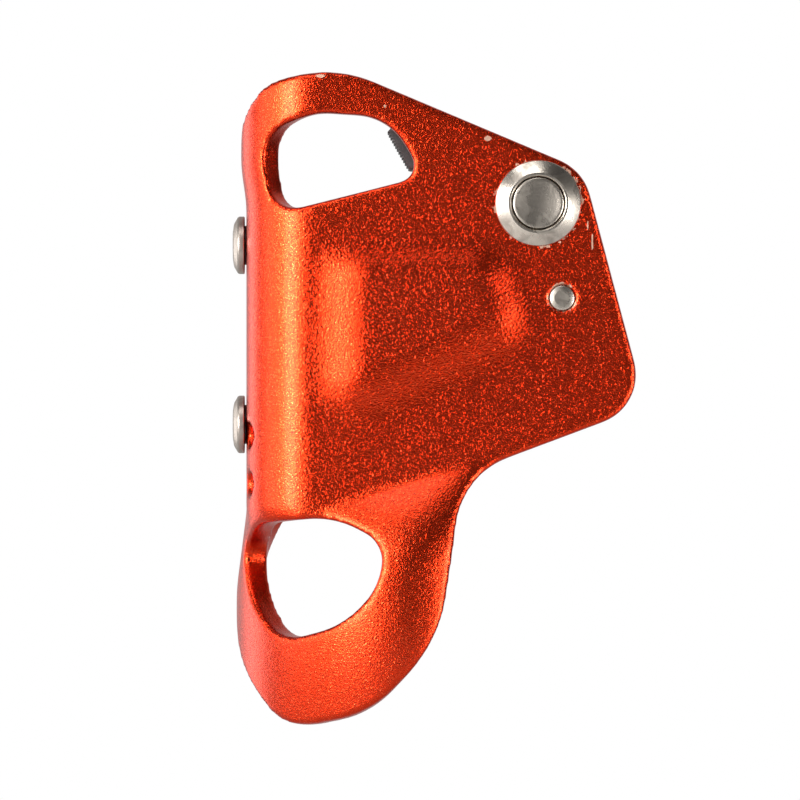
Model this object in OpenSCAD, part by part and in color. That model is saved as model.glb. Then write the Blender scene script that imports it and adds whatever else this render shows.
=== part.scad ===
// Chest ascender: a folded frame with a toothed cam that grips a climbing rope.
// X runs to the right of the back view, +Y runs from the back to the cam side, +Z is up.
// The origin is the centre of the lower eye, in the plane of the back plate's rear face.

/* [Frame] */
// Thickness of the folded plate
plate_t = 4.2; // [3.6:0.1:4.4]
// Outer radius of the shoulder where the back plate turns into the channel
shoulder_r = 11.2; // [10.5:0.1:12]
// Outer radius of the front bend of the channel
front_bend_r = 9; // [8.5:0.1:9.5]
// Depth of the channel over both walls
channel_depth = 26; // [25.5:0.1:27]
// Left face of the channel wall
wall_x = -12; // [-12.5:0.1:-11.5]
// End of the front lip
lip_end_x = 4.1; // [2:0.1:5]
// Height of the raised boss on the back
boss_h = 1.4; // [1:0.1:2.4]
// Radius of the rounded lower lobe
lobe_r = 29; // [28:0.5:30]
// How far the lower lobe's crest stands behind the back plate
lobe_rise = 5; // [4:0.5:5.5]

/* [Cam] */
// Place of the cam axle, across and up
axle_x = 38.4; // [37.5:0.1:39]
axle_z = 64.3; // [63.5:0.1:65]
// Radius of the axle
axle_r = 4.5; // [4:0.1:4.6]
// Radius of the cam's hub
hub_r = 8.2; // [8:0.1:8.5]
// Radius of the curved toothed face
face_r = 25.3; // [25:0.1:25.4]
// Thickness of the cam
cam_t = 13; // [12:0.5:13]
// Rows of teeth
tooth_rows = 9; // [5:1:9]
// Length of a tooth
tooth_h = 1.1; // [0.8:0.1:1.1]

/* [Safety catch] */
// Thickness of the catch lever
lever_t = 2; // [1.5:0.1:2]
// Radius of the hole for a pull cord
cord_hole_r = 1.5; // [1:0.1:1.6]
// Width of the thumb tab
tab_w = 16; // [14:0.5:16]

/* [Fasteners] */
// Radius of the rivet heads on the channel wall
rivet_head_r = 5; // [4.5:0.1:5.2]
// Radius of the rivet shanks
rivet_r = 2; // [1.8:0.1:2.2]
// Radius of the stop pin
stop_pin_r = 2.15; // [2:0.05:2.2]
// Radius of the collar on the back
collar_r = 7.4; // [7:0.1:7.5]

/* [Hidden] */
$fn = 96;
eps = 0.01;
hole_ease = 0.02;
far = 120;
arc_steps = 10;

red = "orangered";
steel = "silver";
dark = "dimgray";
brass = "goldenrod";

// Outlines, each corner as [across, up, radius]
body_outline = [
  [2.5, 88.4, 21], [46.2, 70, 9], [56.9, 29.5, 8.7], [25.2, 17.5, 14.5], [21.5, -11, 27],
  [9.5, -23.4, 18], [-7.7, -26.2, 10.5], [-12.4, -16.5, 16], [-16, -3, 4], [-16, 70, 4],
  [-13.3, 83.1, 10]
];
// Each eye is punched square to the plate, so its left side leans: rear outline, then front outline
upper_eye = [
  [[-0.5, 80.2, 12], [12.4, 78.9, 10], [18.4, 69, 3], [-8.5, 62.3, 5], [-10.2, 76.5, 8]],
  [[0.4, 79.7, 10.5], [12.4, 78.9, 10], [18.4, 69, 3], [-5.2, 62.7, 4.2], [-6.5, 76.2, 6.8]]
];
upper_eye_ys = [4.4, 6.6];
lower_eye = [
  [[-12.3, 10.4, 7], [4, 10.4, 14], [12.2, 5.7, 5.3], [11.1, -1.6, 11.5], [5.2, -8.3, 18.5],
   [-5.5, -11.6, 6], [-12.3, -2.5, 10]],
  [[-8, 9.9, 5.4], [3.3, 9.9, 17], [12.2, 5.7, 5.3], [11.1, -1.6, 11.5], [5.2, -8.3, 18.5],
   [-4.4, -11.1, 4.9], [-8, -3.4, 10]]
];
lower_eye_ys = [15.3, 16.8];
boss_foot = [[-0.4, 57.4, 7], [32.6, 57.6, 6], [39, 40, 5], [6.8, 25.4, 6], [-0.4, 29, 5]];
boss_top = [[6.4, 53, 4], [27.6, 53.2, 4], [31.6, 42.2, 3.5], [9.4, 32.6, 5], [6.4, 34.6, 3]];
// Edge of the folded part seen from the left, each corner as [depth, up, radius]
side_outline = [
  [-9, 90, 0], [-9, -30, 0], [2, -27, 3], [18, -13.5, 14], [26.5, 0, 12], [26.5, 18, 0],
  [26.5, 61.5, 3], [17, 63.5, 5], [13.5, 76, 12], [2, 87.5, 5]
];

shoulder_x = wall_x + shoulder_r;
front_bend_y = channel_depth - front_bend_r;
lobe_x = -13.9 + lobe_r;
lobe_y = lobe_r - lobe_rise;
inner_wall_x = wall_x + plate_t;

// Lengths of the folded plate's stretches, along its middle layer
shoulder_mid_r = shoulder_r - plate_t / 2;
shoulder_len = shoulder_mid_r * PI / 2;
wall_len = front_bend_y - shoulder_r;
bend_x = wall_x + front_bend_r;
bend_mid_r = front_bend_r - plate_t / 2;
bend_len = bend_mid_r * PI / 2;
lobe_mid_r = lobe_r - plate_t / 2;

// The crease above the lobe, which rises to the right, and the ramp below it
crease_z = 11.6;
crease_rise = 0.31;
crease_end_x = 27;
ramp_len = 16;
ramp_steps = [0, 0.06, 0.15, 0.26, 0.38, 0.5, 0.64, 0.8, 1];
// The channel wall bulges a little beside the upper eye
bulge = 0.9;
bulge_z = 63;
bulge_len = 9;
// The lobe's tip curls forward
tip_curl = 3;
tip_z = -2;
tip_len = 23;
// Rows of points up the plate, each as [height, share of the crease's rise it follows]
plate_rows = concat(
  [for (z = [-27, -22.5, -18, -13.5, -9]) [z, 0]],
  [for (i = [len(ramp_steps) - 1 : -1 : 0]) [crease_z - ramp_len * ramp_steps[i], 1]],
  [for (up = [0, 2, 4, 6.5, bulge_len]) [bulge_z + up, 0]],
  [[90, 0]]
);
shoulder_steps = 9;
bend_steps = 6;
plate_us = concat(
  [shoulder_x - shoulder_len - wall_len - bend_len - (lip_end_x - bend_x)],
  [for (i = [bend_steps : -1 : 0]) shoulder_x - shoulder_len - wall_len - bend_len * i / bend_steps],
  [for (i = [shoulder_steps : -1 : 0]) shoulder_x - shoulder_len * i / shoulder_steps],
  [3, 7, 11, 15, 19, 23, 27, 60]
);

// Depths of the pieces that are stacked on the axle
washer_t = 0.9;
play = 0.05;
cam_y0 = plate_t + washer_t + 2 * play;
cam_y1 = cam_y0 + cam_t;
pocket_r = 6.95;
pocket_d = 5;
bush_r = 5.5;
spring_r = 6.2;
spring_wire_r = 0.45;
spring_turns = 4;
spring_leg_hole_r = 0.55;
spring_leg_depth = 2;
hub_washer_r = 7;
head_y = cam_y1 + washer_t + 3 * play;
tooth_y = cam_y1 - 4.8;

// Cam
face_x = 20;
face_z = 50;
tooth_r = 0.75;
tooth_tip_r = 0.12;
tooth_root = 0.35;
tooth_gap = 2.4;
tooth_row_deg = 5.6;
first_row_deg = 159.5;
tooth_lean = 28;
// The toothed face is rounded at the back to follow the channel
face_round_r = 4.5;
arm_outline = [
  [-9, 60.2, 0], [14, 64.8, 0], [35.9, 72.1, 0], [44, 60, 0], [36, 56.5, 0], [27.2, 51.8, 6],
  [6, 35.8, 5], [-9, 36.4, 0]
];

// Safety catch
catch_x = 17;
catch_z = 55;
catch_r = 1.8;
catch_pin_y0 = cam_y0 + 4;
catch_washer_t = 0.5;
lever_y0 = cam_y1 + catch_washer_t + 2 * play;
lever_y1 = lever_y0 + lever_t;
catch_boss_r = 4.2;
catch_bush_r = 2.3;
hook_r0 = 23.2;
hook_r1 = 27;
hook_deg0 = 203.5;
hook_deg1 = 252;
hook_tooth_deg = 6;
hook_tip_r = 19.3;
catch_spring_r = 2.5;
catch_wire_r = 0.25;
catch_leg = [12.4, 51];
clip_y = lever_y1 + 2;
clip_t = 0.6;
clip_groove_r = 1.3;
lever_arm = [
  [17.5, 50.8, 0], [21, 56, 3], [23, 69, 2], [21.8, 77.6, 1.5], [17.3, 77.6, 1.5], [17.1, 67, 5],
  [12.9, 56, 2]
];
tab_outline = [
  [12.4, 76.7, 0.3], [16, 70.3, 0.8], [24.6, 69.8, 2], [27.8, 74.4, 2], [24.6, 78.4, 2],
  [14.6, 79.2, 1.5]
];
tab_y0 = 7;
tab_rivet_y0 = 14;
grip_teeth = 13;
grip_depth = 0.42;
grip_from = [12.4, 76.7];
grip_to = [16, 70.3];
thumb_teeth = 7;
thumb_from = [24.6, 78.4];
thumb_to = [27.8, 74.4];
cord_hole_x = 24.2;
cord_hole_z = 74.2;
tab_rivet_r = 1;
tab_rivet_head_r = 1.8;
tab_rivet_head_t = 0.5;
tab_rivets = [[19.4, 76], [20, 72.2]];

// Fasteners and lining
rivet_y = 15.5;
rivet_upper_z = 57.3;
rivet_lower_z = 26.2;
rivet_washer_t = 0.35;
rivet_washer_r = 3.4;
rivet_rim_t = 1.2;
rivet_dome_t = 0.85;
rivet_dimple_r = 1.7;
rivet_sink_r = 3;
liner_t = 1;
liner_ease = 0.12;
liner_deg0 = 232;
liner_deg1 = 120;
liner_z0 = 20.5;
liner_z1 = 61.5;
stop_pin_x = 42.5;
stop_pin_z = 48;
stop_pin_y0 = -0.3;
collar_t = 1.7;
collar_top_r = 5.2;
axle_end_y = -1.5;
axle_dish = 0.35;
axle_head_r = 7.6;
axle_head_t = 2.4;
drain_r = 2.1;
drain_y = 8.7;
drain_zs = [24.3, 16];

// One rounded corner b between its neighbours a and c
function unit(v) = v / norm(v);
function corner(a, b, c) =
  let (
    p = [b[0], b[1]],
    u = unit([a[0], a[1]] - p),
    v = unit([c[0], c[1]] - p),
    half = acos(max(-1, min(1, u * v))) / 2,
    cut = b[2] / tan(half),
    middle = p + unit(u + v) * b[2] / sin(half),
    first = p + u * cut - middle,
    last = p + v * cut - middle,
    from = atan2(first[1], first[0]),
    turn = (atan2(last[1], last[0]) - from + 540) % 360 - 180
  )
  b[2] == 0 ? [p] : [
    for (i = [0 : arc_steps])
      middle + b[2] * [cos(from + turn * i / arc_steps), sin(from + turn * i / arc_steps)]
  ];
function rounded(points) =
  let (n = len(points))
  [for (i = [0 : n - 1]) each corner(points[(i + n - 1) % n], points[i], points[(i + 1) % n])];

// Draws an (across, up) outline as a slab from y0 to y1
module slab(y0, y1) {
  translate([0, y1, 0]) rotate([90, 0, 0]) linear_extrude(y1 - y0) children();
}

// A round bar along Y at (x, z)
module bar_y(x, z, y0, y1, r) {
  translate([x, y0, z]) rotate([-90, 0, 0]) cylinder(h = y1 - y0, r = r);
}

// A cone along Y at (x, z)
module cone_y(x, z, y0, y1, r0, r1) {
  translate([x, y0, z]) rotate([-90, 0, 0]) cylinder(h = y1 - y0, r1 = r0, r2 = r1);
}

// A round bar along X at (y, z)
module bar_x(y, z, x0, x1, r) {
  translate([x0, y, z]) rotate([0, 90, 0]) cylinder(h = x1 - x0, r = r);
}

// A stretch of a ring between two directions
module ring_sector(outer, inner, from, to) {
  intersection() {
    difference() {
      circle(outer);
      circle(inner);
    }
    polygon(concat([[0, 0]], [for (i = [0 : 4]) 2 * outer *
      [cos(from + (to - from) * i / 4), sin(from + (to - from) * i / 4)]]));
  }
}

// A wire of round section along a list of points
module wire(points, r, start_side, sides = 6) {
  n = len(points);
  function along(i) = unit(points[min(i + 1, n - 1)] - points[max(i - 1, 0)]);
  function square_to(v, d) = unit(v - d * (v * d));
  across = [
    for (i = 0, u = square_to(start_side, along(0)); i < n;
         i = i + 1, u = i < n ? square_to(u, along(i)) : u)
      u
  ];
  rings = [
    for (i = [0 : n - 1])
      let (u = across[i], v = cross(along(i), u))
      for (k = [0 : sides - 1])
        points[i] + r * (cos(360 * k / sides) * u + sin(360 * k / sides) * v)
  ];
  walls = [
    for (i = [0 : n - 2])
      for (k = [0 : sides - 1])
        let (a = i * sides + k, b = i * sides + (k + 1) % sides)
        each [[a, a + sides, b], [b, a + sides, b + sides]]
  ];
  near_end = [for (k = [0 : sides - 1]) k];
  far_end = [for (k = [sides - 1 : -1 : 0]) (n - 1) * sides + k];
  polyhedron(rings, concat(walls, [near_end, far_end]));
}

// Section of the rope channel: the point at u along the plate, w out from its middle layer
function channel_point(u, w) =
  let (
    past_shoulder = shoulder_x - u,
    past_wall = past_shoulder - shoulder_len,
    past_bend = past_wall - wall_len,
    past_lip = past_bend - bend_len
  )
  past_shoulder <= 0 ? [u, plate_t / 2 - w]
  : past_wall <= 0 ? let (a = 90 * past_shoulder / shoulder_len)
      [shoulder_x - (shoulder_mid_r + w) * sin(a), shoulder_r - (shoulder_mid_r + w) * cos(a)]
  : past_bend <= 0 ? [wall_x + plate_t / 2 - w, shoulder_r + past_wall]
  : past_lip <= 0 ? let (a = 90 * past_bend / bend_len)
      [bend_x - (bend_mid_r + w) * cos(a), front_bend_y + (bend_mid_r + w) * sin(a)]
  : [bend_x + past_lip, channel_depth - plate_t / 2 + w];

// Section of the lower lobe, in the same terms
function lobe_point(u, w) =
  let (a = (lobe_x - u) / lobe_mid_r * 180 / PI, past = lobe_x - lobe_mid_r * PI / 2 - u)
  past <= 0 ? [lobe_x - (lobe_mid_r + w) * sin(a), lobe_y - (lobe_mid_r + w) * cos(a)]
  : [lobe_x - lobe_mid_r - w, lobe_y + past];

// How far the crease has risen at u
function crease_up(u) = crease_rise * max(0, min(crease_end_x, u));

// Share of the lobe's section at (u, z), 0 above the crease and 1 at the foot of the ramp
function lobe_share(u, z) =
  let (t = max(0, min(1, (crease_z + crease_up(u) - z) / ramp_len)))
  1 - (1 - t) * (1 - t);
// How far the plate is pushed to the left at (u, z)
function bulge_shift(u, z) =
  let (t = max(0, min(1, (z - bulge_z) / bulge_len)), v = max(0, min(1, (shoulder_x - u) / shoulder_len)))
  bulge * t * t * (3 - 2 * t) * v * v * (3 - 2 * v);
function plate_point(u, w, z) =
  let (k = lobe_share(u, z), p = (1 - k) * channel_point(u, w) + k * lobe_point(u, w))
  [p[0] - bulge_shift(u, z), p[1] + tip_curl * pow(max(0, (tip_z - z) / tip_len), 2), z];

// The folded plate, before its outline is cut
module folded_plate() {
  nu = len(plate_us);
  nz = len(plate_rows);
  layer = nu * nz;
  points = [
    for (side = [1, -1]) for (row = plate_rows) for (u = plate_us)
      plate_point(u, side * plate_t / 2, row[0] + row[1] * crease_up(u))
  ];
  function at(side, i, j) = side * layer + j * nu + i;
  function quad(a, b, c, d) = [[a, b, c], [a, c, d]];
  faces = [
    for (j = [0 : nz - 2]) for (i = [0 : nu - 2]) each concat(
      quad(at(0, i, j), at(0, i, j + 1), at(0, i + 1, j + 1), at(0, i + 1, j)),
      quad(at(1, i, j), at(1, i + 1, j), at(1, i + 1, j + 1), at(1, i, j + 1))
    ),
    for (i = [0 : nu - 2]) each concat(
      quad(at(0, i, 0), at(0, i + 1, 0), at(1, i + 1, 0), at(1, i, 0)),
      quad(at(0, i, nz - 1), at(1, i, nz - 1), at(1, i + 1, nz - 1), at(0, i + 1, nz - 1))
    ),
    for (j = [0 : nz - 2]) each concat(
      quad(at(0, 0, j), at(1, 0, j), at(1, 0, j + 1), at(0, 0, j + 1)),
      quad(at(0, nu - 1, j), at(0, nu - 1, j + 1), at(1, nu - 1, j + 1), at(1, nu - 1, j))
    )
  ];
  polyhedron(points, faces);
}

// The raised boss, or the hollow behind it, from its foot to its flat top
module boss(foot_y) {
  hull() {
    slab(foot_y, foot_y + 0.4) polygon(rounded(boss_foot));
    slab(foot_y - boss_h, foot_y) polygon(rounded(boss_top));
  }
}

// The hole left by punching an eye, whose left side leans between the depths ys
module punch(eye, ys) {
  slab(-20, ys[0]) polygon(rounded(eye[0]));
  hull() {
    slab(ys[0] - eps, ys[0]) polygon(rounded(eye[0]));
    slab(ys[1], ys[1] + eps) polygon(rounded(eye[1]));
  }
  slab(ys[1], far) polygon(rounded(eye[1]));
}

module frame() color(red) difference() {
  union() {
    intersection() {
      folded_plate();
      slab(-20, far) polygon(rounded(body_outline));
      union() {
        translate([-40, 0, 0]) rotate([90, 0, 90]) linear_extrude(40 + lip_end_x)
          polygon(rounded(side_outline));
        translate([lip_end_x, -20, -40]) cube([far, 40, 150]);
      }
    }
    boss(0);
  }
  boss(plate_t);
  punch(upper_eye, upper_eye_ys);
  punch(lower_eye, lower_eye_ys);
  bar_y(axle_x, axle_z, -1, plate_t + 1, axle_r + hole_ease);
  bar_y(stop_pin_x, stop_pin_z, -1, plate_t + 1, stop_pin_r + hole_ease);
  for (z = [rivet_upper_z, rivet_lower_z])
    bar_x(rivet_y, z, wall_x - 1, inner_wall_x + 1, rivet_r + hole_ease);
  for (z = drain_zs) translate([shoulder_x, shoulder_r, z]) drain();
  bar_y(axle_x, axle_z - spring_r, plate_t - spring_leg_depth, plate_t + 1, spring_leg_hole_r);
}

// A drain hole, square to the shoulder's surface
module drain() {
  lean = asin((shoulder_r - drain_y) / shoulder_r);
  rotate([0, 0, lean]) rotate([0, -90, 0])
    translate([0, 0, shoulder_r - plate_t - 2]) cylinder(h = plate_t + 3, r = drain_r);
}

module wear_plate() color(steel) difference() {
  translate([0, 0, liner_z0]) linear_extrude(liner_z1 - liner_z0) {
    translate([shoulder_x, shoulder_r])
      ring_sector(shoulder_r - plate_t - liner_ease, shoulder_r - plate_t - liner_t, 180, liner_deg0);
    translate([inner_wall_x, shoulder_r]) square([liner_t, front_bend_y - shoulder_r]);
    translate([wall_x + front_bend_r, front_bend_y])
      ring_sector(front_bend_r - plate_t - liner_ease, front_bend_r - plate_t - liner_t, liner_deg1, 180);
  }
  for (z = [rivet_upper_z, rivet_lower_z]) rivet_inner(z);
}

// Countersunk inner end of a channel rivet
module rivet_inner(z) {
  translate([inner_wall_x, rivet_y, z]) rotate([0, 90, 0])
    cylinder(h = liner_t, r1 = rivet_r, r2 = rivet_sink_r);
}

module wear_plate_rivet(z) {
  head_x = wall_x - rivet_washer_t;
  difference() {
    union() {
      bar_x(rivet_y, z, head_x - eps, inner_wall_x + eps, rivet_r);
      bar_x(rivet_y, z, head_x - rivet_rim_t, head_x, rivet_head_r);
      translate([head_x - rivet_rim_t, rivet_y, z]) rotate([0, -90, 0])
        cylinder(h = rivet_dome_t, r1 = rivet_head_r, r2 = rivet_head_r - 1.4);
      rivet_inner(z);
    }
    translate([head_x - rivet_rim_t - rivet_dome_t - rivet_dimple_r * 0.7, rivet_y, z])
      sphere(rivet_dimple_r);
  }
}

module wear_plate_rivet_upper() color(steel) wear_plate_rivet(rivet_upper_z);

module wear_plate_rivet_lower() color(steel) wear_plate_rivet(rivet_lower_z);

module rivet_washer(z) {
  difference() {
    bar_x(rivet_y, z, wall_x - rivet_washer_t, wall_x, rivet_washer_r);
    bar_x(rivet_y, z, wall_x - 1, wall_x + 1, rivet_r);
  }
}

module rivet_washer_upper() color(dark) rivet_washer(rivet_upper_z);

module rivet_washer_lower() color(dark) rivet_washer(rivet_lower_z);

// A flat ring round the cam axle
module axle_ring(y0, y1, outer, inner) {
  difference() {
    bar_y(axle_x, axle_z, y0, y1, outer);
    bar_y(axle_x, axle_z, y0 - 1, y1 + 1, inner);
  }
}

module cam_axle() color(steel) difference() {
  union() {
    bar_y(axle_x, axle_z, axle_end_y, head_y + eps, axle_r);
    cone_y(axle_x, axle_z, head_y, head_y + axle_head_t, axle_head_r, axle_head_r - 1.6);
  }
  // shallow dish in the riveted end
  dish_r = (axle_r * axle_r + axle_dish * axle_dish) / (2 * axle_dish);
  translate([axle_x, axle_end_y + axle_dish - dish_r, axle_z]) sphere(dish_r - 0.05, $fn = 200);
}

module axle_collar() color(steel) difference() {
  cone_y(axle_x, axle_z, -collar_t, 0, collar_top_r, collar_r);
  bar_y(axle_x, axle_z, -collar_t - 1, 1, axle_r);
}

module thrust_washer_rear() color(brass) difference() {
  axle_ring(plate_t, plate_t + washer_t, hub_washer_r + 0.5, axle_r);
  bar_y(axle_x, axle_z - spring_r, 0, cam_y0, spring_leg_hole_r);
}

module thrust_washer_front() color(brass)
  axle_ring(cam_y1 + play, cam_y1 + play + washer_t, hub_washer_r, axle_r);

module spring_sleeve() color(dark)
  axle_ring(plate_t + washer_t, cam_y0 + pocket_d - play, axle_r + 0.85, axle_r);

module cam_spring() color(steel) {
  steps = 20;
  y0 = cam_y0 + spring_wire_r + 0.3;
  y1 = cam_y0 + pocket_d - spring_wire_r - 0.3;
  coil = [
    for (i = [0 : spring_turns * steps])
      [axle_x + spring_r * sin(360 * i / steps), y0 + (y1 - y0) * i / (spring_turns * steps),
       axle_z - spring_r * cos(360 * i / steps)]
  ];
  leg = [
    [axle_x, plate_t - spring_leg_depth + 0.4, axle_z - spring_r],
    [axle_x, y0 - 0.35, axle_z - spring_r]
  ];
  wire(concat(leg, [for (i = [1 : len(coil) - 1]) coil[i]]), spring_wire_r, [0, 0, 1]);
}

module stop_pin() color(steel)
  bar_y(stop_pin_x, stop_pin_z, stop_pin_y0, lever_y1 + 0.6, stop_pin_r);

// One leaning tooth on the cam's face, at a direction from the face's centre
module cam_tooth(direction, y) {
  translate([face_x, y, face_z]) rotate([0, -direction, 0]) translate([face_r - tooth_root, 0, 0])
    rotate([0, 90 + tooth_lean, 0])
      cylinder(h = tooth_h + tooth_root, r1 = tooth_r, r2 = tooth_tip_r, $fn = 16);
}

// What is cut from the back edge of the cam's face to round it
module face_rounding() {
  translate([face_x, cam_y0, face_z]) rotate([-90, 0, 0]) rotate_extrude() difference() {
    translate([face_r - face_round_r, -1]) square([face_round_r + 1, face_round_r + 1]);
    translate([face_r - face_round_r, face_round_r]) circle(face_round_r);
  }
}

module cam_profile() {
  translate([axle_x, axle_z]) circle(hub_r);
  intersection() {
    translate([face_x, face_z]) circle(face_r);
    polygon(rounded(arm_outline));
  }
}

module cam() color(steel) difference() {
  union() {
    difference() {
      slab(cam_y0, cam_y1) cam_profile();
      face_rounding();
    }
    for (row = [0 : tooth_rows - 1])
      for (k = [0 : 3 - row % 2])
        cam_tooth(first_row_deg + row * tooth_row_deg, tooth_y + (k - 1.5 + (row % 2) / 2) * tooth_gap);
  }
  bar_y(axle_x, axle_z, cam_y0 - 1, cam_y1 + 1, bush_r);
  bar_y(axle_x, axle_z, cam_y0 - 1, cam_y0 + pocket_d, pocket_r);
  bar_y(catch_x, catch_z, catch_pin_y0, cam_y1 + 1, catch_r);
  bar_y(catch_leg[0], catch_leg[1], cam_y1 - 1.2, cam_y1 + 1, catch_wire_r + 2 * play);
}

module cam_bush() color(brass)
  axle_ring(cam_y0 + pocket_d, cam_y1, bush_r, axle_r + play);

module catch_pin() color(steel) difference() {
  bar_y(catch_x, catch_z, catch_pin_y0, clip_y + clip_t + 0.5, catch_r);
  difference() {
    bar_y(catch_x, catch_z, clip_y, clip_y + clip_t, catch_r + 1);
    bar_y(catch_x, catch_z, clip_y - 1, clip_y + clip_t + 1, clip_groove_r);
  }
}

// A flat ring round the catch pin
module catch_ring(y0, y1, outer, inner) {
  difference() {
    bar_y(catch_x, catch_z, y0, y1, outer);
    bar_y(catch_x, catch_z, y0 - 1, y1 + 1, inner);
  }
}

module catch_washer() color(brass)
  catch_ring(cam_y1, cam_y1 + catch_washer_t, 3.4, catch_r);

module catch_clip() color(dark) difference() {
  catch_ring(clip_y, clip_y + clip_t, 3.4, clip_groove_r);
  translate([catch_x - 1, clip_y - 1, catch_z - 5]) cube([2, clip_t + 2, 5]);
}

module catch_bush() color(brass)
  catch_ring(lever_y0, lever_y1, catch_bush_r, catch_r + play);

module catch_spring() color(steel) {
  steps = 16;
  turns = 3;
  y0 = lever_y1 + catch_wire_r + 0.1;
  y1 = clip_y - catch_wire_r - 0.1;
  coil = [
    for (i = [0 : turns * steps])
      [catch_x - catch_spring_r * cos(360 * i / steps), y0 + (y1 - y0) * i / (turns * steps),
       catch_z + catch_spring_r * sin(360 * i / steps)]
  ];
  leg = [[catch_leg[0], cam_y1 - 0.8, catch_leg[1]], [catch_leg[0], y0, catch_leg[1]]];
  tail = [[catch_x + 1, y1, catch_z + 9]];
  wire(concat(leg, coil, tail), catch_wire_r, [0, 0, 1]);
}

module lever_profile() {
  difference() {
    union() {
      translate([catch_x, catch_z]) circle(catch_boss_r);
      translate([axle_x, axle_z]) ring_sector(hook_r1, hook_r0, hook_deg0, hook_deg1);
      translate([axle_x, axle_z])
        ring_sector(hook_r0 + 1, hook_tip_r, hook_deg1 - hook_tooth_deg, hook_deg1);
      polygon(rounded(lever_arm));
    }
    translate([catch_x, catch_z]) circle(catch_bush_r);
  }
}

module catch_lever() color(steel) difference() {
  slab(lever_y0, lever_y1) lever_profile();
  for (p = tab_rivets) bar_y(p[0], p[1], lever_y0 - 1, lever_y1 + 1, tab_rivet_r);
}

// Notches along an edge, so that its rim is serrated
module serrations(from, to, teeth) {
  pitch = norm(to - from) / teeth;
  d = unit(to - from);
  for (i = [0 : teeth - 1]) {
    p = from + d * pitch * (i + 0.5);
    translate(p) rotate(atan2(d[1], d[0]))
      polygon([[-pitch / 2, -eps * 5], [pitch / 2, -eps * 5], [0, grip_depth]]);
  }
}

module catch_thumb_tab() color(dark) difference() {
  slab(tab_y0, tab_y0 + tab_w) difference() {
    polygon(rounded(tab_outline));
    serrations(grip_from, grip_to, grip_teeth);
    serrations(thumb_to, thumb_from, thumb_teeth);
  }
  slab(lever_y0, lever_y1) lever_profile();
  for (p = tab_rivets) bar_y(p[0], p[1], tab_rivet_y0, tab_y0 + tab_w + 1, tab_rivet_r);
  bar_y(cord_hole_x, cord_hole_z, 0, far, cord_hole_r);
}

module tab_rivet(p) {
  bar_y(p[0], p[1], tab_rivet_y0, tab_y0 + tab_w + eps, tab_rivet_r);
  cone_y(p[0], p[1], tab_y0 + tab_w, tab_y0 + tab_w + tab_rivet_head_t,
    tab_rivet_head_r, tab_rivet_head_r - 0.5);
}

module tab_rivet_upper() color(steel) tab_rivet(tab_rivets[0]);

module tab_rivet_lower() color(steel) tab_rivet(tab_rivets[1]);

frame();
wear_plate();
wear_plate_rivet_upper();
wear_plate_rivet_lower();
rivet_washer_upper();
rivet_washer_lower();
cam_axle();
axle_collar();
thrust_washer_rear();
thrust_washer_front();
spring_sleeve();
cam_spring();
stop_pin();
cam();
cam_bush();
catch_pin();
catch_washer();
catch_clip();
catch_spring();
catch_lever();
catch_bush();
catch_thumb_tab();
tab_rivet_upper();
tab_rivet_lower();
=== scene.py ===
import math

import bmesh
import bpy
from mathutils import Matrix, Vector


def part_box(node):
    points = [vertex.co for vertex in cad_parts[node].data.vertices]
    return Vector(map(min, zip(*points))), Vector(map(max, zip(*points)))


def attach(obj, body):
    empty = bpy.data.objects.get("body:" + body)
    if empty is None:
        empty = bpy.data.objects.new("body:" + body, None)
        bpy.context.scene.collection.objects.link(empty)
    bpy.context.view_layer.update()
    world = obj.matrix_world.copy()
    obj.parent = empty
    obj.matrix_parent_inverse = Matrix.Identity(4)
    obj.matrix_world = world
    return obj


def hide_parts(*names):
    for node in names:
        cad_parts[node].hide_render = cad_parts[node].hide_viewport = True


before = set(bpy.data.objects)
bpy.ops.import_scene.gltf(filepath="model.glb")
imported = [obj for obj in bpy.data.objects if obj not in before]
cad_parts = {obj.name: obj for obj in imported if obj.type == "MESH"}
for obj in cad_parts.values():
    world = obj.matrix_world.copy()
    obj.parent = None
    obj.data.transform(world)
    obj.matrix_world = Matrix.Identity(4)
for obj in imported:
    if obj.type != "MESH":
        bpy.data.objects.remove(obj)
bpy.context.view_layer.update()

# Lengths of the frame's folds are in millimetres. The finished meshes are in metres, so each builder
# scales by MM once, at its end.
MM = 0.001

# The folded plate
PLATE_T = 4.2
SHOULDER_R = 11.2
FRONT_BEND_R = 9.0
CHANNEL_DEPTH = 26.0
WALL_X = -12.0
LIP_END_X = 4.1
LOBE_R = 29.0
LOBE_RISE = 5.0
BOSS_H = 1.25
CREASE_Z = 11.6
CREASE_RISE = 0.31
CREASE_END = 27.0
RAMP_LEN = 16.0
BULGE = 0.9
BULGE_Z = 63.0
BULGE_LEN = 9.0
TIP_CURL = 3.0
TIP_Z = -2.0
TIP_LEN = 23.0

SHOULDER_X = WALL_X + SHOULDER_R
SHOULDER_MID_R = SHOULDER_R - PLATE_T / 2
SHOULDER_LEN = SHOULDER_MID_R * math.pi / 2
BEND_Y = CHANNEL_DEPTH - FRONT_BEND_R
WALL_LEN = BEND_Y - SHOULDER_R
BEND_X = WALL_X + FRONT_BEND_R
BEND_MID_R = FRONT_BEND_R - PLATE_T / 2
BEND_LEN = BEND_MID_R * math.pi / 2
LOBE_X = -13.9 + LOBE_R
LOBE_Y = LOBE_R - LOBE_RISE
LOBE_MID_R = LOBE_R - PLATE_T / 2
LIP_END_U = SHOULDER_X - SHOULDER_LEN - WALL_LEN - BEND_LEN - (LIP_END_X - BEND_X)

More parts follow.
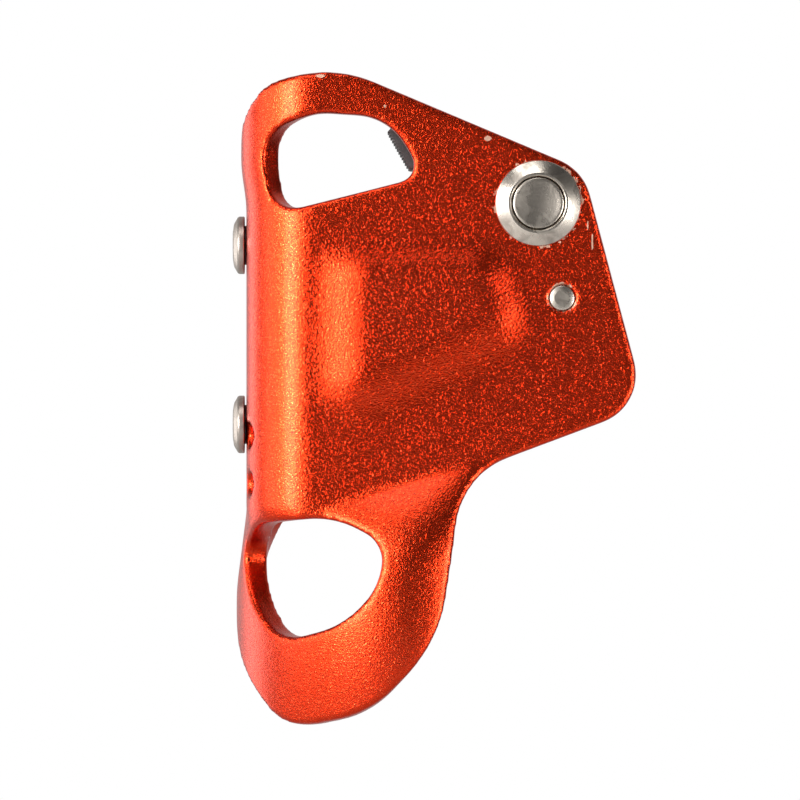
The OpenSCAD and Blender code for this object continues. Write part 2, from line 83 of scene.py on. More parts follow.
# Outlines of the flat blank before it is folded: (along, up, corner radius)
BLANK = [
    (2.5, 88.4, 21), (46.2, 70, 9), (57, 29.4, 8.7), (25.2, 17.5, 14.5), (21.1, -11.2, 27),
    (9.6, -23.5, 18), (-5.5, -26.5, 13), (-20, -15.4, 40), (-30.5, -6, 9), (-30.5, 12, 3),
    (LIP_END_U, 15.5, 2.5), (LIP_END_U, 62, 3), (-25.5, 64.5, 6), (-14.5, 77.4, 10), (-7.6, 84.8, 10),
]
UPPER_EYE = [(0.2, 79.9, 10.5), (12.6, 79.1, 10), (18.7, 69, 3), (-6.6, 62.5, 4.2), (-8.6, 76.3, 6.8)]
LOWER_EYE = [
    (3.3, 10.3, 16), (12.2, 5.8, 5.3), (11, -1.8, 11), (5.2, -8.3, 15), (-7, -11.3, 10),
    (-16.2, -3.5, 16), (-19.8, 4.8, 3.3), (-10, 9.2, 12),
]
# Sides of the raised boss: (a point on its foot, the way in, how far in the slope ends)
BOSS_SIDES = [
    ((-0.8, 42), (1, 0), 10),
    ((16, 58.4), (0, -1), 6.5),
    ((36.9, 49), (-0.935, -0.355), 7.5),
    ((23, 31.4), (-0.408, 0.913), 10),
    ((2.2, 25.8), (0.47, 0.883), 9),
]
DRAIN_R = 2.1
DRAIN_DEPTH = 8.7
DRAIN_ZS = (24.3, 16.0)
AXLE_HOLE_R = 4.5
STOP_PIN_HOLE_R = 2.15
RIVET_HOLE_R = 2.0

# How the frame's mesh is made
PUNCH_PAST = 2
GRID_STEP = 1.0
EVEN_SIZE = 0.45
TUMBLE_TURNS = 12


# ---------------------------------------------------------------- places taken from the frame

def centre_of(node):
    low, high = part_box(node)
    return (low + high) / 2


AXLE = centre_of("cam_axle")
STOP_PIN = centre_of("stop_pin")
UPPER_RIVET = centre_of("wear_plate_rivet_upper")
LOWER_RIVET = centre_of("wear_plate_rivet_lower")
CATCH_PIN = centre_of("catch_pin")


# ---------------------------------------------------------------- mesh helpers

def unit(v):
    return v / v.length


def rounded(corners, steps=10):
    """Points of an outline whose corners are arcs."""
    points = []
    for i, (x, z, r) in enumerate(corners):
        here = Vector((x, z))
        before = unit(Vector(corners[i - 1][:2]) - here)
        after = unit(Vector(corners[(i + 1) % len(corners)][:2]) - here)
        if r == 0:
            points.append(here)
            continue
        half = before.angle(after) / 2
        middle = here + unit(before + after) * r / math.sin(half)
        cut = r / math.tan(half)
        first = here + before * cut - middle
        last = here + after * cut - middle
        start = math.atan2(first.y, first.x)
        turn = (math.atan2(last.y, last.x) - start + 3 * math.pi) % (2 * math.pi) - math.pi
        for k in range(steps + 1):
            a = start + turn * k / steps
            points.append(middle + r * Vector((math.cos(a), math.sin(a))))
    return points


def ring(x, z, r, steps=40):
    return [
        Vector((x + r * math.cos(2 * math.pi * k / steps), z + r * math.sin(2 * math.pi * k / steps)))
        for k in range(steps)
    ]


def new_object(name, bm):
    mesh = bpy.data.meshes.new(name)
    bm.to_mesh(mesh)
    bm.free()
    obj = bpy.data.objects.new(name, mesh)
    bpy.context.scene.collection.objects.link(obj)
    return obj


def prism(bm, points, y0, y1):
    """A solid with an (across, up) outline, from y0 to y1."""
    face = bm.faces.new([bm.verts.new((p.x, y0, p.y)) for p in points])
    grown = bmesh.ops.extrude_face_region(bm, geom=[face])["geom"]
    moved = [g for g in grown if isinstance(g, bmesh.types.BMVert)]
    bmesh.ops.translate(bm, verts=moved, vec=(0, y1 - y0, 0))
    bmesh.ops.recalc_face_normals(bm, faces=bm.faces)


def baked(obj):
    """The object with its modifiers applied to its mesh."""
    bpy.context.view_layer.update()
    graph = bpy.context.evaluated_depsgraph_get()
    mesh = bpy.data.meshes.new_from_object(obj.evaluated_get(graph), depsgraph=graph)
    obj.modifiers.clear()
    obj.data = mesh
    return obj


def cut(obj, tool, operation):
    step = obj.modifiers.new(operation, "BOOLEAN")
    step.operation = operation
    step.solver = "EXACT"
    step.object = tool
    baked(obj)
    bpy.data.objects.remove(tool)


def smooth(obj, angle=None):
    for face in obj.data.polygons:
        face.use_smooth = True
    if angle is not None:
        obj.data.set_sharp_from_angle(angle=math.radians(angle))
    return obj


# ---------------------------------------------------------------- the folded frame

def channel_point(u, w):
    """The rope channel's section: u along the plate, w out from its middle layer."""
    past_shoulder = SHOULDER_X - u
    past_wall = past_shoulder - SHOULDER_LEN
    past_bend = past_wall - WALL_LEN
    past_lip = past_bend - BEND_LEN
    if past_shoulder <= 0:
        return Vector((u, PLATE_T / 2 - w))
    if past_wall <= 0:
        a = past_shoulder / SHOULDER_MID_R
        r = SHOULDER_MID_R + w
        return Vector((SHOULDER_X - r * math.sin(a), SHOULDER_R - r * math.cos(a)))
    if past_bend <= 0:
        return Vector((WALL_X + PLATE_T / 2 - w, SHOULDER_R + past_wall))
    if past_lip <= 0:
        a = past_bend / BEND_MID_R
        r = BEND_MID_R + w
        return Vector((BEND_X - r * math.cos(a), BEND_Y + r * math.sin(a)))
    return Vector((BEND_X + past_lip, CHANNEL_DEPTH - PLATE_T / 2 + w))


def lobe_point(u, w):
    """The lower lobe's section, in the same terms."""
    a = (LOBE_X - u) / LOBE_MID_R
    past = (a - math.pi / 2) * LOBE_MID_R
    r = LOBE_MID_R + w
    if past <= 0:
        return Vector((LOBE_X - r * math.sin(a), LOBE_Y - r * math.cos(a)))
    return Vector((LOBE_X - r, LOBE_Y + past))


def ease(t):
    t = max(0.0, min(1.0, t))
    return t * t * (3 - 2 * t)


def lobe_share(u, z):
    """0 above the crease, then quickly and ever more gently to 1 at the foot of the ramp."""
    crease = CREASE_Z + CREASE_RISE * max(0.0, min(CREASE_END, u))
    t = max(0.0, min(1.0, (crease - z) / RAMP_LEN))
    return 1 - (1 - t) ** 2


def bulge_shift(u, z):
    """How far the channel wall is pushed out beside the upper eye."""
    return BULGE * ease((z - BULGE_Z) / BULGE_LEN) * ease((SHOULDER_X - u) / SHOULDER_LEN)


def tip_curl(z):
    """How far the lobe's tip curls forward."""
    return TIP_CURL * max(0.0, (TIP_Z - z) / TIP_LEN) ** 2


def boss_share(u, z):
    """How much of the boss's height stands at (u, z)."""
    share = 1.0
    for (pu, pz), (du, dz), width in BOSS_SIDES:
        share *= ease(((u - pu) * du + (z - pz) * dz) / width)
    return share


def fold(point):
    """Where a point of the flat blank goes when the plate is folded."""
    u, y, z = point
    w = PLATE_T / 2 - y
    share = lobe_share(u, z)
    place = channel_point(u, w) * (1 - share) + lobe_point(u, w) * share
    depth = place.y - BOSS_H * boss_share(u, z) + tip_curl(z)
    return Vector((place.x - bulge_shift(u, z), depth, z)) * MM


def frame_shell():
    """The plate is punched flat, folded, then tumbled so that its edges are round."""
    u0, u1, z0, z1 = LIP_END_U - 1, 57.0, -27.0, 90.0
    bm = bmesh.new()
    across, up = round((u1 - u0) / GRID_STEP), round((z1 - z0) / GRID_STEP)
    bmesh.ops.create_grid(bm, x_segments=across, y_segments=up, size=0.5)
    to_blank = (
        Matrix.Translation(((u0 + u1) / 2, 0, (z0 + z1) / 2))
        @ Matrix.Diagonal((u1 - u0, 1, z1 - z0, 1))
        @ Matrix.Rotation(math.pi / 2, 4, "X")
    )
    bmesh.ops.transform(bm, matrix=to_blank, verts=bm.verts)
    grown = bmesh.ops.extrude_face_region(bm, geom=bm.faces[:])["geom"]
    back = [g for g in grown if isinstance(g, bmesh.types.BMVert)]
    bmesh.ops.translate(bm, verts=back, vec=(0, PLATE_T, 0))
    bmesh.ops.recalc_face_normals(bm, faces=bm.faces)
    shell = new_object("frame_shell", bm)

    bm = bmesh.new()
    prism(bm, rounded(BLANK), -PUNCH_PAST, PLATE_T + PUNCH_PAST)
    cut(shell, new_object("blank", bm), "INTERSECT")

    bm = bmesh.new()
    holes = [rounded(UPPER_EYE), rounded(LOWER_EYE)]
    holes.append(ring(AXLE.x / MM, AXLE.z / MM, AXLE_HOLE_R))
    holes.append(ring(STOP_PIN.x / MM, STOP_PIN.z / MM, STOP_PIN_HOLE_R))
    for rivet in (UPPER_RIVET, LOWER_RIVET):
        along_wall = SHOULDER_X - SHOULDER_LEN - (rivet.y / MM - SHOULDER_R)
        holes.append(ring(along_wall, rivet.z / MM, RIVET_HOLE_R))
    drain_u = SHOULDER_X - SHOULDER_MID_R * math.acos(1 - DRAIN_DEPTH / SHOULDER_R)
    for z in DRAIN_ZS:
        holes.append(ring(drain_u, z, DRAIN_R))
    for points in holes:
        prism(bm, points, -PUNCH_PAST, PLATE_T + PUNCH_PAST)
    cut(shell, new_object("punches", bm), "DIFFERENCE")

    for v in shell.data.vertices:
        v.co = fold(v.co)
    even = shell.modifiers.new("even", "REMESH")
    even.mode = "VOXEL"
    even.voxel_size = EVEN_SIZE * MM
    tumble = shell.modifiers.new("tumble", "SMOOTH")
    tumble.factor = 0.5
    tumble.iterations = TUMBLE_TURNS
    return smooth(baked(shell))


# ---------------------------------------------------------------- turned, wound and cut pieces

def turned(name, profile, place, axis, steps=96):
    """A lathe piece. The profile is a closed outline of (along the axis, out from it, corner radius)
    in millimetres, measured from the row's origin along the axis."""
    bm = bmesh.new()
    points = rounded(profile, 4)
    verts = [bm.verts.new((p.x, max(0.0, p.y), 0)) for p in points]
    edges = [bm.edges.new((verts[i - 1], verts[i])) for i in range(len(verts))]
    bmesh.ops.spin(
        bm, geom=verts + edges, cent=(0, 0, 0), axis=(1, 0, 0), angle=2 * math.pi,
        steps=steps, use_merge=True,
    )
    bmesh.ops.remove_doubles(bm, verts=bm.verts, dist=1e-4)
    loose = [f for f in bm.faces if f.calc_area() < 1e-9]
    bmesh.ops.delete(bm, geom=loose, context="FACES")
    bmesh.ops.recalc_face_normals(bm, faces=bm.faces)
    if axis == "Y":
        turn = Matrix.Rotation(math.pi / 2, 4, "Z")
        centre = Vector((place.x, 0, place.z))
    else:
        turn = Matrix.Identity(4)
        centre = Vector((0, place.y, place.z))
    to_place = Matrix.Translation(centre) @ turn @ Matrix.Scale(MM, 4)
    bmesh.ops.transform(bm, matrix=to_place, verts=bm.verts)
    return smooth(new_object(name, bm), 40)


def extent(node, axis):
    """Where a node starts and ends along an axis, in millimetres."""
    low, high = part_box(node)
    k = "XYZ".index(axis)
    return low[k] / MM, high[k] / MM


def washer(name, node, axis, inner, edge=0.12):
    start, end = extent(node, axis)
    low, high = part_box(node)
    outer = (high.z - low.z) / 2 / MM
    profile = [(start, inner, edge), (end, inner, edge), (end, outer, edge), (start, outer, edge)]
    return turned(name, profile, centre_of(node), axis)


def finished_copy(name, node, edge, skip=None):
    """A plain piece with its triangles joined, flat faces whole and edges broken by a small bevel."""
    bm = bmesh.new()
    bm.from_mesh(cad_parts[node].data)
    bmesh.ops.remove_doubles(bm, verts=bm.verts, dist=2e-6)
    bmesh.ops.dissolve_limit(
        bm, angle_limit=math.radians(1), verts=bm.verts, edges=bm.edges, delimit={"NORMAL"}
    )
    sharp = [
        e for e in bm.edges
        if len(e.link_faces) == 2 and e.calc_face_angle(0) > math.radians(30)
        and not (skip and skip((e.verts[0].co + e.verts[1].co) / 2))
    ]
    bmesh.ops.bevel(
        bm, geom=sharp, offset=edge * MM, offset_type="OFFSET", segments=2, profile=0.5,
        affect="EDGES", clamp_overlap=True, material=-1,
    )
    return smooth(new_object(name, bm), 35)


def wire(name, points, radius):
    """A round wire along points in metres."""
    curve = bpy.data.curves.new(name, "CURVE")
    curve.dimensions = "3D"
    curve.bevel_depth = radius * MM
    curve.bevel_resolution = 4
    curve.use_fill_caps = True
    spline = curve.splines.new("POLY")
    spline.points.add(len(points) - 1)
    for p, place in zip(spline.points, points):
        p.co = (*place, 1)
    holder = bpy.data.objects.new(name, curve)
    bpy.context.scene.collection.objects.link(holder)
    bpy.context.view_layer.update()
    mesh = bpy.data.meshes.new_from_object(holder.evaluated_get(bpy.context.evaluated_depsgraph_get()))
    bpy.data.objects.remove(holder)
    obj = bpy.data.objects.new(name, mesh)
    bpy.context.scene.collection.objects.link(obj)
    return smooth(obj)


def coil(centre, radius, y0, y1, turns, start, steps=36):
    """Points of a coil round a Y axis, in metres."""
    count = round(turns * steps)
    points = []
    for i in range(count + 1):
        a = start + 2 * math.pi * i / steps
        y = y0 + (y1 - y0) * i / count
        out = radius * MM
        points.append(Vector((centre.x + out * math.cos(a), y * MM, centre.z + out * math.sin(a))))
    return points


def cam_axle():
    start, end = extent("cam_axle", "Y")
    head = end - 2.4
    profile = [
        (start + 0.35, 0, 0), (start + 0.3, 1.5, 0), (start + 0.1, 3.2, 0.8), (start, 3.9, 0.25),
        (start + 0.05, 4.32, 0.15), (start + 0.5, 4.5, 0.1), (head, 4.5, 0.1), (head, 7.6, 0.3),
        (head + 1.1, 7.4, 0.5), (end, 5.6, 1.0), (end - 0.25, 2.2, 0.4), (end - 0.6, 0.8, 0.3),
        (end - 0.6, 0, 0),
    ]
    return turned("cam_axle_turned", profile, AXLE, "Y")


def axle_collar():
    start, _ = extent("axle_collar", "Y")
    profile = [
        (0, 4.62, 0.1), (start + 0.25, 4.62, 0.12), (start, 4.8, 0.1), (start, 5.2, 0.2),
        (start + 1.25, 7.3, 0.3), (-0.25, 7.4, 0.12), (0, 7.3, 0),
    ]
    return turned("axle_collar_ring", profile, AXLE, "Y", 128)


def stop_pin():
    start, end = extent("stop_pin", "Y")
    profile = [
        (start + 0.1, 0, 0), (start, 1.3, 0.3), (start + 0.12, 2.1, 0.15), (start + 0.6, 2.15, 0),
        (end - 0.3, 2.15, 0.1), (end, 1.85, 0.1), (end, 0, 0),
    ]
    return turned("stop_pin_turned", profile, STOP_PIN, "Y", 64)


def channel_rivet(name, node, place):
    start, end = extent(node, "X")
    seat = WALL_X - 0.35
    profile = [
        (start + 0.75, 0, 0), (start + 0.6, 0.9, 0.3), (start + 0.05, 1.7, 0.2), (start, 2.4, 0.4),
        (start + 0.2, 3.7, 1.2), (seat - 1.2, 4.85, 0.5), (seat - 0.9, 5, 0.2), (seat - 0.1, 5, 0.12),
        (seat, 4.85, 0.1), (seat, 2, 0.1), (end - 1, 2, 0), (end, 3, 0), (end, 0, 0),
    ]
    return turned(name, profile, place, "X", 96)


def cam_spring():
    y0, y1, radius = 5.95, 9.7, 6.2
    points = coil(AXLE, radius, y0, y1, 4, -math.pi / 2)
    leg = Vector((AXLE.x, 0, AXLE.z - radius * MM))
    points[0:1] = [leg + Vector((0, y * MM, 0)) for y in (2.6, 4.5, y0 - 0.45)]
    return wire("cam_spring_coil", points, 0.45)


def catch_spring():
    low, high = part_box("catch_spring")
    _, lever_top = extent("catch_lever", "Y")
    y0, y1 = lever_top + 0.35, lever_top + 1.65
    foot = Vector((12.4, 0, 51.0)) * MM
    points = coil(CATCH_PIN, 2.5, y0, y1, 3, math.pi)
    points[0:0] = [foot + Vector((0, y * MM, 0)) for y in (17.4, lever_top - 0.4, y0 - 0.1)]
    points.append(Vector((CATCH_PIN.x + 1 * MM, y1 * MM, CATCH_PIN.z + 9 * MM)))
    return wire("catch_spring_coil", points, 0.25)


def near_cam_face(point):
    """The cam's toothed side, whose edges stay sharp."""
    middle, reach, right_end = Vector((0.020, 0.050)), 0.0244, 0.012
    return (Vector((point.x, point.z)) - middle).length > reach and point.x < right_end


# ---------------------------------------------------------------- material helpers

class Graph:
    """A small helper for building a node tree by name."""

    def __init__(self, tree):
        self.tree = tree

    def add(self, kind, settings=None, **inputs):
        made = self.tree.nodes.new(kind)
        for key, value in (settings or {}).items():
            setattr(made, key, value)
        for key, value in inputs.items():
            self.put(made, key.replace("_", " "), value)
        return made

    def put(self, made, socket, value):
        target = made.inputs[int(socket[1:])] if socket[0] == "#" else made.inputs[socket]
        if isinstance(value, bpy.types.NodeSocket):
            self.tree.links.new(value, target)
        else:
            target.default_value = value

    def maths(self, operation, a, b=0.0, c=0.0, clamp=False):
        made = self.add("ShaderNodeMath", {"operation": operation, "use_clamp": clamp})
        for i, value in enumerate((a, b, c)):
            self.put(made, f"#{i}", value)
        return made.outputs[0]

    def span(self, value, low, high, to_low=0.0, to_high=1.0):
        made = self.add(
            "ShaderNodeMapRange", {"interpolation_type": "SMOOTHSTEP"}, Value=value,
            From_Min=low, From_Max=high, To_Min=to_low, To_Max=to_high,
        )
        return made.outputs[0]

    def blend(self, share, a, b):
        made = self.add("ShaderNodeMix", {"data_type": "RGBA"})
        self.put(made, "#0", share)
        self.put(made, "#6", a)
        self.put(made, "#7", b)
        return made.outputs[2]

    def noise(self, vector, scale, detail=2.0, roughness=0.5, distortion=0.0):
        made = self.add(
            "ShaderNodeTexNoise", None, Vector=vector, Scale=scale, Detail=detail,
            Roughness=roughness, Distortion=distortion,
        )
        return made.outputs[0]


def group(name, inputs, outputs):
    """A new shader node group with float or vector inputs and float outputs."""
    tree = bpy.data.node_groups.new(name, "ShaderNodeTree")
    for key, (kind, value) in inputs.items():
        made = tree.interface.new_socket(key, in_out="INPUT", socket_type=kind)
        if value is not None:
            made.default_value = value
    for key in outputs:
        tree.interface.new_socket(key, in_out="OUTPUT", socket_type="NodeSocketFloat")
    g = Graph(tree)
    entry = g.add("NodeGroupInput")
    leave = g.add("NodeGroupOutput")
    return g, entry.outputs, leave


FLOAT, VECTOR = "NodeSocketFloat", "NodeSocketVector"


def make_wavy_grain():
    """Blasted and dyed aluminium: short worm-like waves under a finer pebble."""
    g, given, out = group(
        "wavy grain", {"Vector": (VECTOR, None), "Size": (FLOAT, 0.001)}, ("Height", "Fleck")
    )
    rate = g.maths("DIVIDE", 1.0, given["Size"])
    waves = g.noise(given["Vector"], rate, 1.0, 0.5, 0.5)
    ridges = g.maths("ABSOLUTE", g.maths("SUBTRACT", waves, 0.5))
    pebble = g.noise(given["Vector"], g.maths("MULTIPLY", rate, 2.4), 1.0, 0.5)
    height = g.maths("ADD", g.maths("MULTIPLY", ridges, 1.4), g.maths("MULTIPLY", pebble, 0.7))
    g.put(out, "Height", height)
    fleck = g.noise(given["Vector"], g.maths("MULTIPLY", rate, 2.9), 1.0, 0.5)
    g.put(out, "Fleck", g.span(fleck, 0.58, 0.72))
    return g.tree


def make_ring_chips():
    """Paint or dye chipped away in a ring about a Y axis."""
    g, given, out = group(
        "ring chips",
        {
            "Vector": (VECTOR, None), "Centre": (VECTOR, None), "Inner": (FLOAT, 0.007),
            "Outer": (FLOAT, 0.008), "Coverage": (FLOAT, 0.5),
        },
        ("Mask",),
    )
    away = g.add("ShaderNodeVectorMath", {"operation": "SUBTRACT"})
    g.put(away, "#0", given["Vector"])
    g.put(away, "#1", given["Centre"])
    parts = g.add("ShaderNodeSeparateXYZ", None, Vector=away.outputs[0])
    flat = g.add("ShaderNodeCombineXYZ", None, X=parts.outputs[0], Z=parts.outputs[2])
    far = g.add("ShaderNodeVectorMath", {"operation": "LENGTH"})
    g.put(far, "#0", flat.outputs[0])
    ragged = g.noise(given["Vector"], 1100.0, 3.0, 0.65)
    shift = g.maths("MULTIPLY", g.maths("SUBTRACT", ragged, 0.5), 0.0022)
    near = g.maths("ADD", far.outputs["Value"], shift)
    band = g.maths(
        "MULTIPLY",
        g.span(near, given["Outer"], g.maths("SUBTRACT", given["Outer"], 0.00015)),
        g.maths("GREATER_THAN", far.outputs["Value"], given["Inner"]),
    )
    patch = g.noise(given["Vector"], 420.0, 2.0, 0.6)
    open_at = g.maths("SUBTRACT", 1.0, given["Coverage"])
    g.put(out, "Mask", g.maths("MULTIPLY", band, g.span(patch, open_at, g.maths("ADD", open_at, 0.03))))
    return g.tree


def make_spot():
    """A ragged spot: a mask of 1 inside a stretched ball about a point."""
    g, given, out = group(
        "ragged spot",
        {"Vector": (VECTOR, None), "Centre": (VECTOR, None), "Reach": (VECTOR, None)},
        ("Mask",),
    )
    away = g.add("ShaderNodeVectorMath", {"operation": "SUBTRACT"})
    g.put(away, "#0", given["Vector"])
    g.put(away, "#1", given["Centre"])
    scaled = g.add("ShaderNodeVectorMath", {"operation": "DIVIDE"})
    g.put(scaled, "#0", away.outputs[0])
    g.put(scaled, "#1", given["Reach"])
    far = g.add("ShaderNodeVectorMath", {"operation": "LENGTH"})
    g.put(far, "#0", scaled.outputs[0])
    ragged = g.noise(given["Vector"], 1500.0, 3.0, 0.6)
    near = g.maths("ADD", far.outputs["Value"], g.maths("MULTIPLY", g.maths("SUBTRACT", ragged, 0.5), 1.6))
    g.put(out, "Mask", g.span(near, 1.0, 0.9))
    return g.tree


def make_metal_finish():
    """Machined or blasted steel: fine lines along an axis, smudges and a light pebble."""
    g, given, out = group(
        "metal finish",
        {"Vector": (VECTOR, None), "Stretch": (VECTOR, (1, 1, 1)), "Size": (FLOAT, 0.0003)},
        ("Height", "Smudge"),
    )
    rate = g.maths("DIVIDE", 1.0, given["Size"])
    lines = g.add("ShaderNodeVectorMath", {"operation": "MULTIPLY"})
    g.put(lines, "#0", given["Vector"])
    g.put(lines, "#1", given["Stretch"])
    g.put(out, "Height", g.noise(lines.outputs[0], rate, 3.0, 0.6))
    smudge = g.noise(given["Vector"], 260.0, 3.0, 0.6, 0.8)
    g.put(out, "Smudge", g.span(smudge, 0.4, 0.68))
    return g.tree


GRAIN = make_wavy_grain()
RING_CHIPS = make_ring_chips()
SPOT = make_spot()
METAL_FINISH = make_metal_finish()


def material(name):
    made = bpy.data.materials.new(name)
    made.use_nodes = True
    g = Graph(made.node_tree)
    shader = made.node_tree.nodes["Principled BSDF"]
    where = g.add("ShaderNodeTexCoord").outputs["Object"]
    return made, g, shader, where


def use(g, tree, **inputs):
    made = g.add("ShaderNodeGroup", {"node_tree": tree})
    for key, value in inputs.items():
        g.put(made, key, value)
    return made.outputs


def bump(g, shader, height, distance):
    made = g.add("ShaderNodeBump", None, Height=height, Distance=distance, Strength=1.0)
    g.put(shader, "Normal", made.outputs[0])


# Where knocks have gone through the dye on the back: (across, up), (reach along x, y and z)
WEAR_MARKS = [
    ((29.8, 75.4), (0.7, 4, 0.5)), ((47.7, 57.6), (0.16, 2, 1.5)), ((46.9, 60.4), (0.12, 2, 0.8)),
    ((12, 81), (0.25, 2, 0.25)), ((1, 86.2), (0.9, 4, 0.3)), ((37.2, 68.9), (0.9, 2, 0.16)),
]


def anodised_red():
    made, g, shader, where = material("orange_red_anodised")
    grain = use(g, GRAIN, Vector=where, Size=0.54 * MM)
    chips = use(
        g, RING_CHIPS, Vector=where, Centre=tuple(AXLE), Inner=7.2 * MM, Outer=7.8 * MM, Coverage=0.46
    )["Mask"]
    pin_chips = use(
        g, RING_CHIPS, Vector=where, Centre=tuple(STOP_PIN), Inner=2.0 * MM, Outer=2.55 * MM, Coverage=0.55
    )["Mask"]
    bare = g.maths("MAXIMUM", chips, pin_chips)
    for (x, z), reach in WEAR_MARKS:
        mark = use(
            g, SPOT, Vector=where, Centre=(x * MM, 0, z * MM), Reach=tuple(r * MM for r in reach)
        )["Mask"]
        bare = g.maths("MAXIMUM", bare, mark)
    dye = g.blend(grain["Fleck"], (0.54, 0.027, 0.005, 1), (0.86, 0.11, 0.035, 1))
    colour = g.blend(bare, dye, (0.42, 0.25, 0.18, 1))
    g.put(shader, "Base Color", colour)
    shader.inputs["Metallic"].default_value = 1.0
    g.put(shader, "Roughness", g.span(bare, 0.0, 1.0, 0.26, 0.5))
    shader.inputs["Coat Weight"].default_value = 0.1
    shader.inputs["Coat Roughness"].default_value = 0.25
    bump(g, shader, grain["Height"], 0.068 * MM)
    return made


def steel(name, colour, dull, size, stretch, depth, dark=0.8):
    """A bare or coated metal. The smudges are darker and rougher than the rest."""
    made, g, shader, where = material(name)
    finish = use(g, METAL_FINISH, Vector=where, Stretch=stretch, Size=size * MM)
    darker = tuple(c * dark for c in colour[:3]) + (1,)
    g.put(shader, "Base Color", g.blend(finish["Smudge"], colour, darker))
    shader.inputs["Metallic"].default_value = 1.0
    g.put(shader, "Roughness", g.span(finish["Smudge"], 0.0, 1.0, dull, dull + 0.1))
    bump(g, shader, finish["Height"], depth * MM)
    return made


MATERIALS = {
    "red": anodised_red(),
    "turned": steel(
        "turned_stainless", (0.58, 0.52, 0.45, 1), 0.26, 0.25, (1, 1, 1), 0.008, dark=0.55
    ),
    "rivet": steel("rivet_steel", (0.38, 0.33, 0.29, 1), 0.36, 0.3, (1, 1, 1), 0.008),
    "sheet": steel("rolled_stainless", (0.6, 0.56, 0.51, 1), 0.3, 0.2, (1, 1, 0.05), 0.01),
    "cam": steel("plated_cast_steel", (0.52, 0.51, 0.50, 1), 0.36, 0.5, (1, 1, 1), 0.02),
    "spring": steel("spring_wire", (0.45, 0.45, 0.46, 1), 0.25, 0.3, (1, 1, 1), 0.004),
    "bronze": steel("bearing_bronze", (0.55, 0.34, 0.14, 1), 0.35, 0.3, (1, 1, 1), 0.006),
    "black": steel("blackened_steel", (0.045, 0.045, 0.05, 1), 0.42, 0.3, (1, 1, 1), 0.008),
    "tab": steel("dark_anodised", (0.05, 0.045, 0.045, 1), 0.45, 0.35, (1, 1, 1), 0.012),
}


def place(obj, body, nodes, slot, finish):
    """Gives a piece its finish, the body that it rides on and the plain nodes that it stands for."""
    obj.data.materials.clear()
    obj.data.materials.append(MATERIALS[finish])
    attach(obj, body)
    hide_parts(*nodes)
    return obj


# ---------------------------------------------------------------- camera, lights and stage

VIEW_WIDTH = 137.6 * MM
VIEW_DISTANCE = 1.6
SENSOR = 36.0
VIEW_CENTRE = Vector((14.62, 0, 30.44)) * MM


def make_camera():
    data = bpy.data.cameras.new("camera")
    data.sensor_width = SENSOR
    data.lens = SENSOR * VIEW_DISTANCE / VIEW_WIDTH
    cam = bpy.data.objects.new("camera", data)
    cam.location = VIEW_CENTRE + Vector((0, -VIEW_DISTANCE, 0))
    cam.rotation_euler = (math.pi / 2, 0, 0)
    bpy.context.scene.collection.objects.link(cam)
    bpy.context.scene.camera = cam


LIGHT_DISTANCE = 0.9


def softbox(name, azimuth, elevation, width, height, power):
    """A soft light aimed at the middle of the object. Azimuth 0 is the camera's side."""
    a, e = math.radians(azimuth), math.radians(elevation)
    way = Vector((math.sin(a) * math.cos(e), -math.cos(a) * math.cos(e), math.sin(e)))
    data = bpy.data.lights.new(name, "AREA")
    data.shape = "RECTANGLE"
    data.size = width
    data.size_y = height
    data.energy = power
    lamp = bpy.data.objects.new(name, data)
    lamp.location = VIEW_CENTRE + way * LIGHT_DISTANCE
    lamp.rotation_mode = "QUATERNION"
    lamp.rotation_quaternion = way.to_track_quat("Z", "Y")
    bpy.context.scene.collection.objects.link(lamp)


def make_world():
    world = bpy.data.worlds.new("studio")
    bpy.context.scene.world = world
    world.use_nodes = True
    g = Graph(world.node_tree)
    back = world.node_tree.nodes["Background"]
    way = g.add("ShaderNodeTexCoord").outputs["Generated"]
    depth = g.add("ShaderNodeSeparateXYZ", None, Vector=way).outputs[1]
    room = g.span(depth, -0.3, 0.4, 0.04, 0.6)
    seen = g.add("ShaderNodeLightPath").outputs["Is Camera Ray"]
    level = g.maths("MAXIMUM", room, seen)
    g.put(back, "Color", g.blend(level, (0, 0, 0, 1), (1, 1, 1, 1)))
    back.inputs["Strength"].default_value = 1.0


def make_floor():
    bm = bmesh.new()
    bmesh.ops.create_circle(bm, cap_ends=True, segments=96, radius=0.4)
    bmesh.ops.translate(bm, verts=bm.verts, vec=(VIEW_CENTRE.x, 0, -0.105))
    floor = new_object("floor", bm)
    made, g, shader, where = material("pale_floor")
    tone = g.noise(where, 9.0)
    g.put(shader, "Base Color", g.blend(tone, (0.6, 0.6, 0.6, 1), (0.64, 0.64, 0.64, 1)))
    shader.inputs["Roughness"].default_value = 0.7
    # Clear from below, so that the object can be looked at from under the floor
    below = g.add("ShaderNodeNewGeometry").outputs["Backfacing"]
    g.put(shader, "Alpha", g.maths("SUBTRACT", 1.0, below))
    floor.data.materials.append(made)


make_camera()
make_world()
make_floor()
softbox("key", -37, 8, 0.36, 0.5, 13)
softbox("side", -74, 6, 0.6, 0.6, 4.8)
softbox("back_side", -125, 0, 0.4, 0.6, 2)
softbox("top", -20, 56, 0.5, 0.3, 2.6)
softbox("fill", 46, -6, 0.36, 0.4, 7)
bpy.context.scene.view_settings.view_transform = "Standard"

# ---------------------------------------------------------------- the pieces

FRAME_BODY, CAM_BODY, CATCH_BODY = "frame_body", "cam_body", "catch_body"

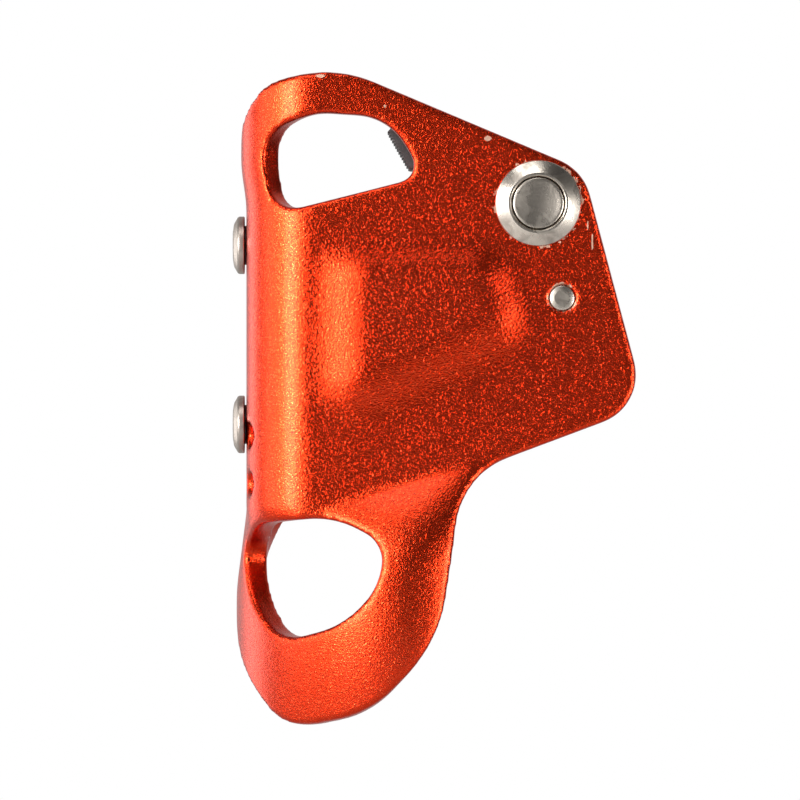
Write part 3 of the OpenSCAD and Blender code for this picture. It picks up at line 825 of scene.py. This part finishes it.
place(frame_shell(), FRAME_BODY, ["frame"], "anodised_frame", "red")
place(finished_copy("wear_plate_sheet", "wear_plate", 0.2), FRAME_BODY, ["wear_plate"], "stainless", "sheet")
place(cam_axle(), FRAME_BODY, ["cam_axle"], "stainless", "turned")
place(axle_collar(), FRAME_BODY, ["axle_collar"], "stainless", "turned")
place(stop_pin(), FRAME_BODY, ["stop_pin"], "stainless", "turned")
for level, where in (("upper", UPPER_RIVET), ("lower", LOWER_RIVET)):
    rivet_node = f"wear_plate_rivet_{level}"
    washer_node = f"rivet_washer_{level}"
    place(
        channel_rivet(f"channel_rivet_{level}", rivet_node, where),
        FRAME_BODY, [rivet_node], "stainless", "rivet",
    )
    place(
        washer(f"channel_washer_{level}", washer_node, "X", 2.0),
        FRAME_BODY, [washer_node], "blackened_steel", "black",
    )
for node, inner, slot, finish in (
    ("thrust_washer_rear", 4.5, "bronze", "bronze"),
    ("thrust_washer_front", 4.5, "bronze", "bronze"),
    ("spring_sleeve", 4.5, "blackened_steel", "black"),
):
    place(washer(node + "_turned", node, "Y", inner), FRAME_BODY, [node], slot, finish)
place(cam_spring(), FRAME_BODY, ["cam_spring"], "spring_steel", "spring")

place(finished_copy("cam_casting", "cam", 0.35, near_cam_face), CAM_BODY, ["cam"], "cam_steel", "cam")
place(washer("cam_bush_turned", "cam_bush", "Y", 4.55), CAM_BODY, ["cam_bush"], "bronze", "bronze")
place(finished_copy("catch_pin_turned", "catch_pin", 0.15), CAM_BODY, ["catch_pin"], "stainless", "turned")
place(washer("catch_washer_turned", "catch_washer", "Y", 1.8), CAM_BODY, ["catch_washer"], "bronze", "bronze")
place(
    finished_copy("catch_clip_stamped", "catch_clip", 0.1),
    CAM_BODY, ["catch_clip"], "blackened_steel", "black",
)
place(catch_spring(), CAM_BODY, ["catch_spring"], "spring_steel", "spring")

place(
    finished_copy("catch_lever_stamped", "catch_lever", 0.25),
    CATCH_BODY, ["catch_lever"], "cam_steel", "cam",
)
place(washer("catch_bush_turned", "catch_bush", "Y", 1.85), CATCH_BODY, ["catch_bush"], "bronze", "bronze")
place(
    finished_copy("thumb_tab", "catch_thumb_tab", 0.12),
    CATCH_BODY, ["catch_thumb_tab"], "dark_anodised", "tab",
)
for level in ("upper", "lower"):
    node = f"tab_rivet_{level}"
    place(finished_copy(node + "_headed", node, 0.1), CATCH_BODY, [node], "stainless", "turned")
